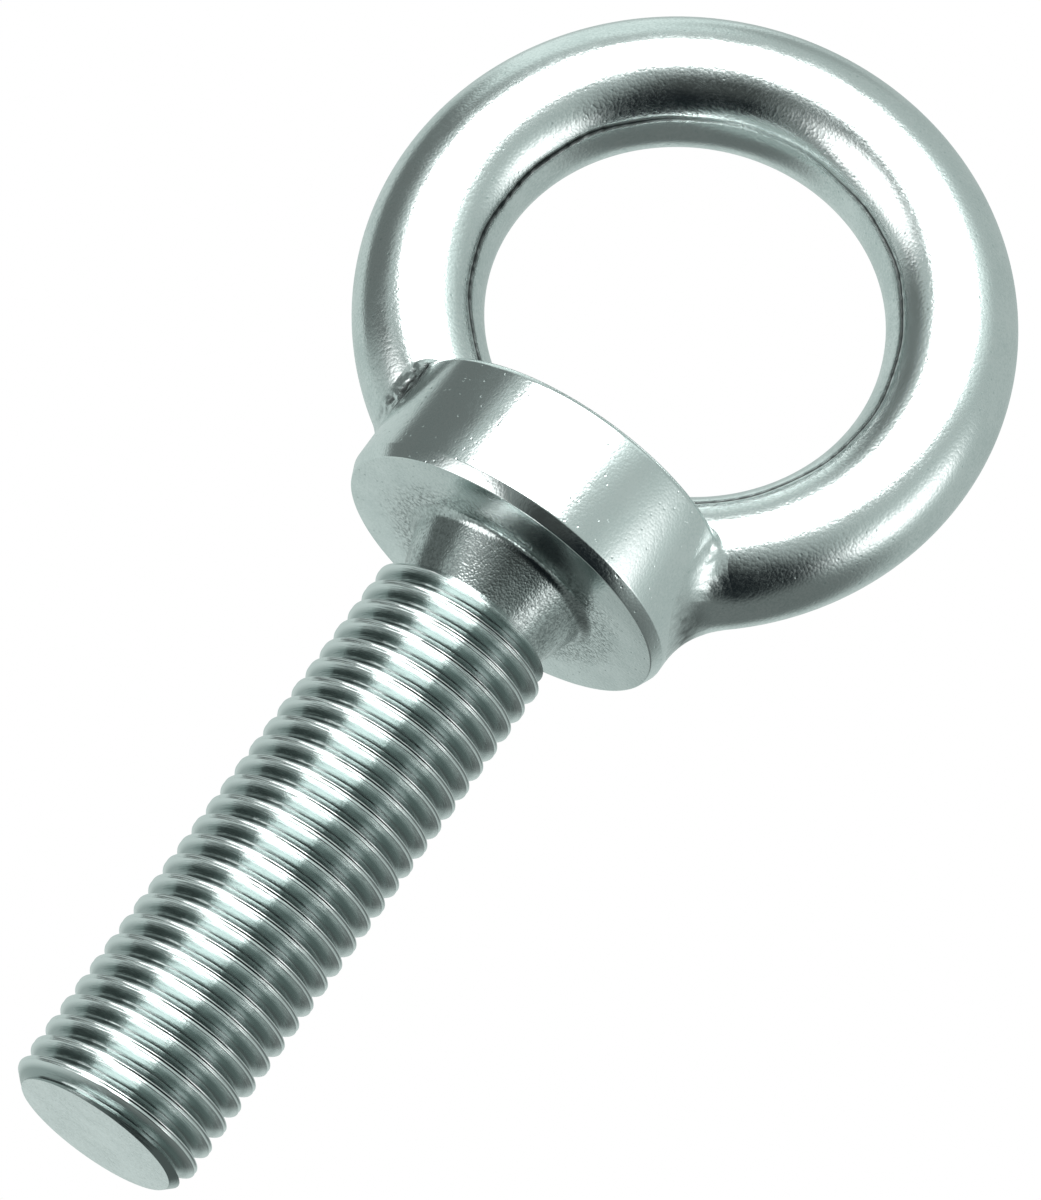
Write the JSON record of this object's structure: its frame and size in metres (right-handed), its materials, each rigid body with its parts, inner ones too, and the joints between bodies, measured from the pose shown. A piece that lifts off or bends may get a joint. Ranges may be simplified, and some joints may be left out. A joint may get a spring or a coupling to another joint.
{
  "type": "lifting eye bolt",
  "caption": "Round-section lifting eye standing on a thick round collar, with a long coarse-threaded shank below the collar's flat seating face.",
  "frame": {"origin": "centre of the collar's flat seating face, on the bolt axis", "axes": "+Z along the bolt axis towards the eye, +Y along the eye's own axis (through its hole), -Z the way the shank points and is screwed in"},
  "size_m": [0.068, 0.037, 0.1395],
  "materials": {
    "polished_steel": "tumbled and polished stainless forging with a fine grain",
    "turned_steel": "turned, then polished",
    "thread_steel": "bright cut thread with fine lines along the ridges"
  },
  "bodies": {
    "root": {"lifting_eye": "polished_steel", "eye_roots": "polished_steel", "collar": "turned_steel", "neck": "turned_steel", "threaded_shank": "thread_steel"}
  },
  "joints": []
}
